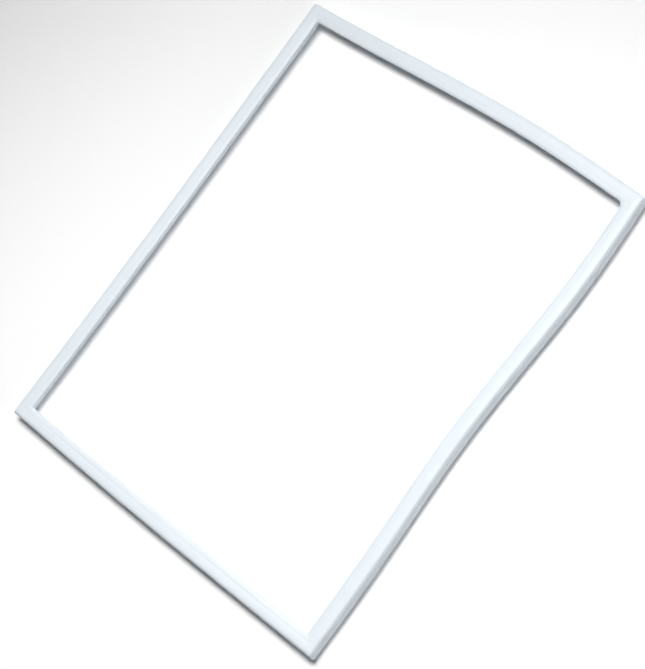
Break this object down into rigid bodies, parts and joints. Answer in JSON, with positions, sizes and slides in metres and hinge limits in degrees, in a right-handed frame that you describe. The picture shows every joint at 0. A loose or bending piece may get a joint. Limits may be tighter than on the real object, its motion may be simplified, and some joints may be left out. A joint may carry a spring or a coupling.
{
  "type": "refrigerator door gasket",
  "caption": "Rectangular magnetic door seal of soft white PVC, mitred at its corners, with a flat sealing band, a soft inner balloon, a bellows and a push-in dart.",
  "frame": {"origin": "middle of the part's box in X and Y, on the surface that the seal lies on", "axes": "+X across the door, from the side drawn left to the side drawn right; +Y along the door's height; +Z out of the sealing face, away from the dart"},
  "size_m": [0.6002, 0.7286, 0.023],
  "materials": {
    "soft_pvc": "smooth soft PVC, faintly blue white, with a satin sheen and fine lines along the extrusion",
    "magnet_rubber": "dull dark brown ferrite-filled rubber"
  },
  "bodies": {
    "root": {"gasket_frame": "soft_pvc", "magnet_strip_top": "magnet_rubber", "magnet_strip_right": "magnet_rubber", "magnet_strip_bottom": "magnet_rubber", "magnet_strip_left": "magnet_rubber"}
  },
  "joints": []
}
